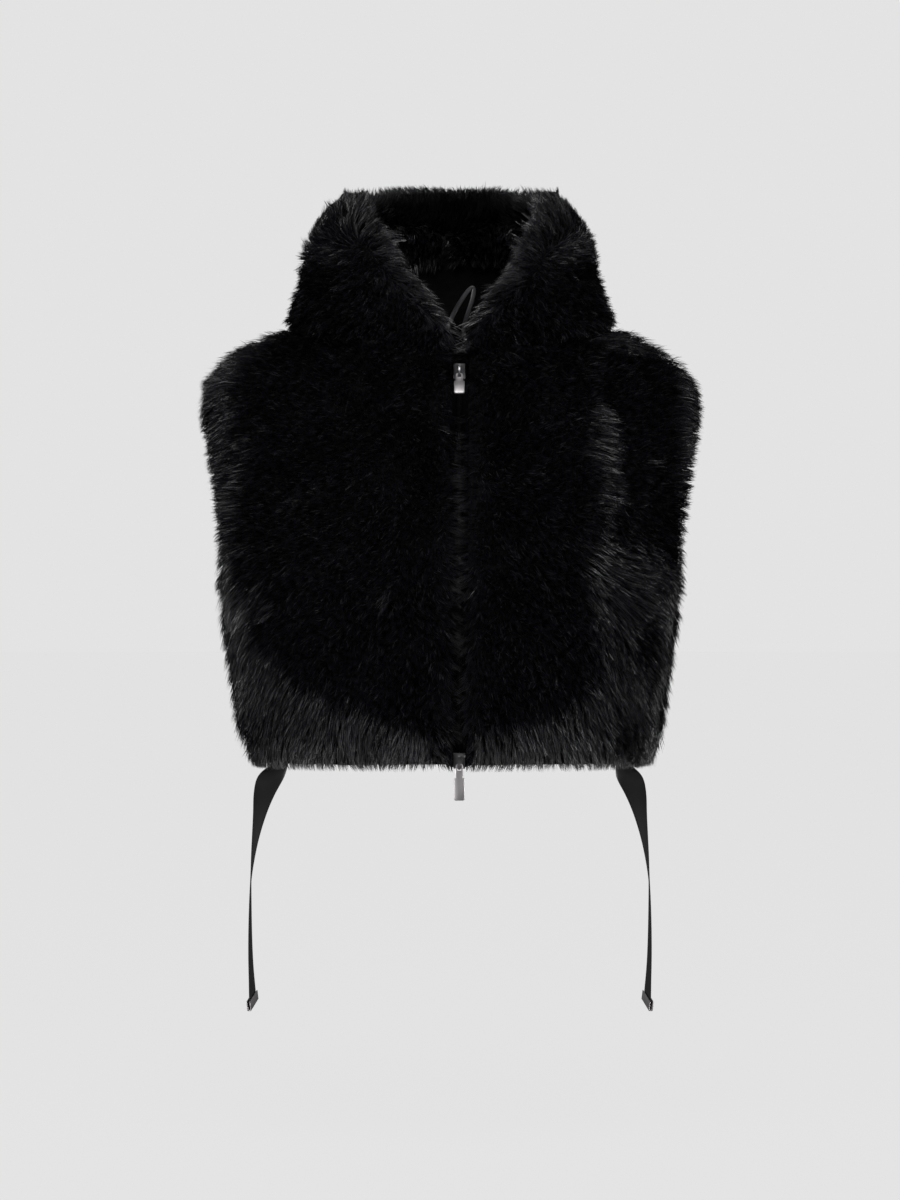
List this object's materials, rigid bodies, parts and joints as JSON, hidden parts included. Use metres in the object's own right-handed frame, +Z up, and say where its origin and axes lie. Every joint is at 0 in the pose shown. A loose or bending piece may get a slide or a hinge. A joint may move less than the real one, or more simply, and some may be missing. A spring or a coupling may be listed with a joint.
{
  "type": "faux fur vest",
  "caption": "Cropped sleeveless faux fur vest with a tall funnel collar open in a V, a two-way front zip and hanging satin ribbon ties, hollow as worn.",
  "frame": {"origin": "middle of the neck of the one who wears it, at shoulder height", "axes": "+Z up, -Y out of the front, +X towards the wearer's left"},
  "size_m": [0.4962, 0.2749, 0.8222],
  "materials": {
    "fur": "long black faux fur pile",
    "satin": "black satin lining",
    "ribbon": "black satin ribbon",
    "zip_tape": "black woven zip tape and chain",
    "slider_metal": "dark polished metal",
    "pull_metal": "satin silver metal",
    "clamp_metal": "satin silver metal"
  },
  "bodies": {
    "root": {"front_left": "fur", "front_right": "fur", "back": "fur", "collar_outer": "fur", "collar_inner": "fur", "neck_lining": "satin", "facing_fold": "satin", "zip_tape_left": "zip_tape", "zip_tape_right": "zip_tape", "slider_top": "slider_metal", "slider_bottom": "slider_metal", "tie_left": "ribbon", "tie_right": "ribbon", "tie_clamp_left": "clamp_metal", "tie_clamp_right": "clamp_metal"},
    "pull_top": {"pull_top": "pull_metal"},
    "pull_bottom": {"pull_bottom": "pull_metal"}
  },
  "joints": [
    {"name": "pull_top_swing", "type": "hinge", "parent": "root", "child": "pull_top", "pos_m": [0.009, -0.10451, -0.04386], "axis": [-1, 0, 0], "range_deg": [-47, 85]},
    {"name": "pull_bottom_swing", "type": "hinge", "parent": "root", "child": "pull_bottom", "pos_m": [0.009, -0.11097, -0.42114], "axis": [-1, 0, 0], "range_deg": [0, 135]}
  ]
}
